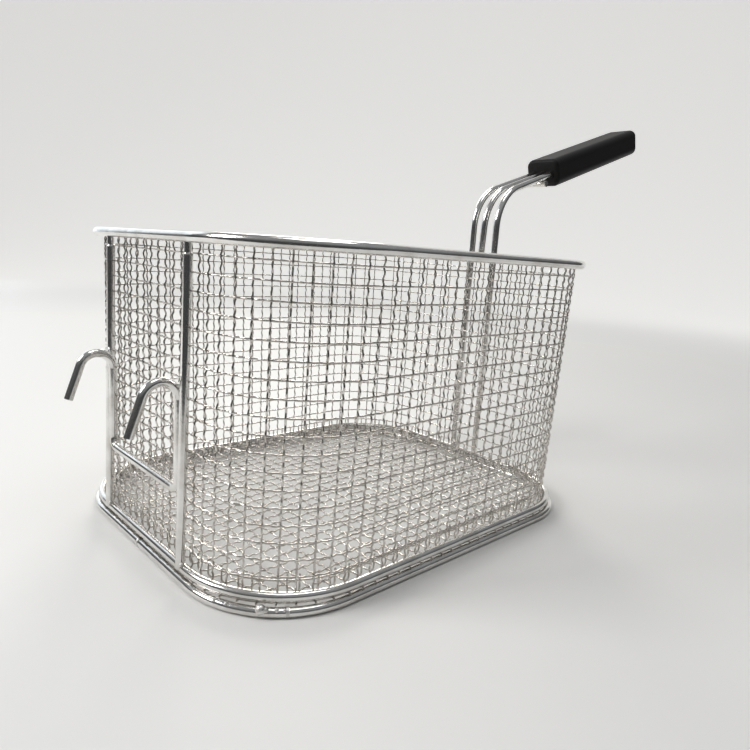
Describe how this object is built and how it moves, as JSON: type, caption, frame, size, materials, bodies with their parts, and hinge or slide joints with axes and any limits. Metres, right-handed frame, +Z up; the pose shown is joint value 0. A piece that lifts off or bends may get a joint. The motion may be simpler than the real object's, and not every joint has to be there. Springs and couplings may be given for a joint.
{
  "type": "deep fryer basket",
  "caption": "Woven wire frying basket with rounded corners, a double hook in front to hang it over a rim, and a raised handle with a grip behind.",
  "frame": {"origin": "middle of the lower base ring, on the plane that the basket stands on", "axes": "+Z up, +Y towards the handle, -Y towards the double hook"},
  "size_m": [0.192, 0.4207, 0.2471],
  "materials": {
    "mesh": "bright plated woven wire",
    "frame_wire": "bright plated wire",
    "handle_wire": "bright plated wire",
    "grip": "smooth black moulding"
  },
  "bodies": {
    "root": {"wall_mesh": "mesh", "floor_mesh": "mesh", "rim_ring": "frame_wire", "upper_base_ring": "frame_wire", "lower_base_ring": "frame_wire", "left_upright": "frame_wire", "right_upright": "frame_wire", "double_hook": "frame_wire", "handle_frame": "handle_wire", "handle_middle_wire": "handle_wire", "handle_cross_wire": "handle_wire", "handle_grip": "grip"}
  },
  "joints": []
}
